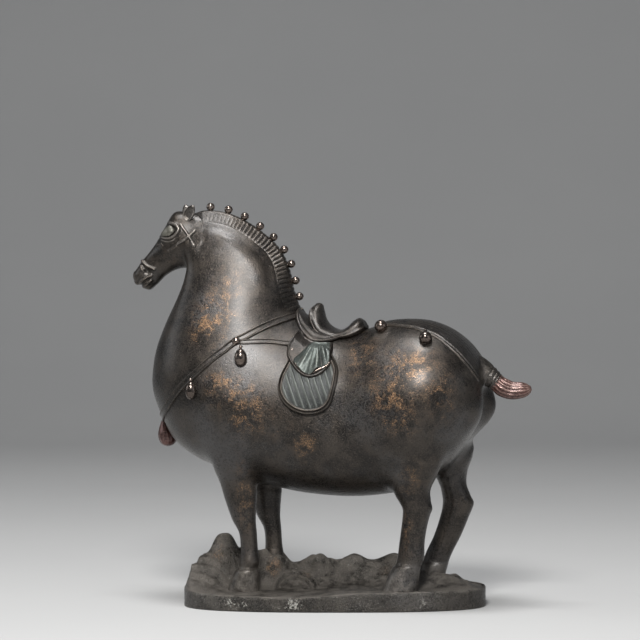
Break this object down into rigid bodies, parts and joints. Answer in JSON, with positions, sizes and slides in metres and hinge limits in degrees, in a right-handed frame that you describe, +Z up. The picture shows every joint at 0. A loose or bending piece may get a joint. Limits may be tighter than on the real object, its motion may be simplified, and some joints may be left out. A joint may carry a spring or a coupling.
{
  "type": "gilt bronze horse figure on plinth",
  "caption": "Cast bronze figure of a stout saddled horse with cut mane, breast strap with pendants and short tied tail, standing on an oval plinth with low rocks.",
  "frame": {"origin": "middle of the bounding box in X and Y, on the surface that the plinth stands on", "axes": "X along the plinth with the head towards -X, Y across it with the horse's off side towards +Y, Z up"},
  "size_m": [0.2174, 0.1032, 0.2214],
  "materials": {
    "bronze": "dark brown patina, satin, with worn gilding",
    "polished_bronze": "rubbed bronze, bright on its high places",
    "verdigris_bronze": "green-grey patina, matt in the hollows",
    "lacquered_bronze": "worn dark red lacquer over bronze",
    "dusty_bronze": "grey-olive patina with tan dust in the hollows"
  },
  "bodies": {
    "root": {"horse_with_plinth": "bronze"}
  },
  "joints": []
}
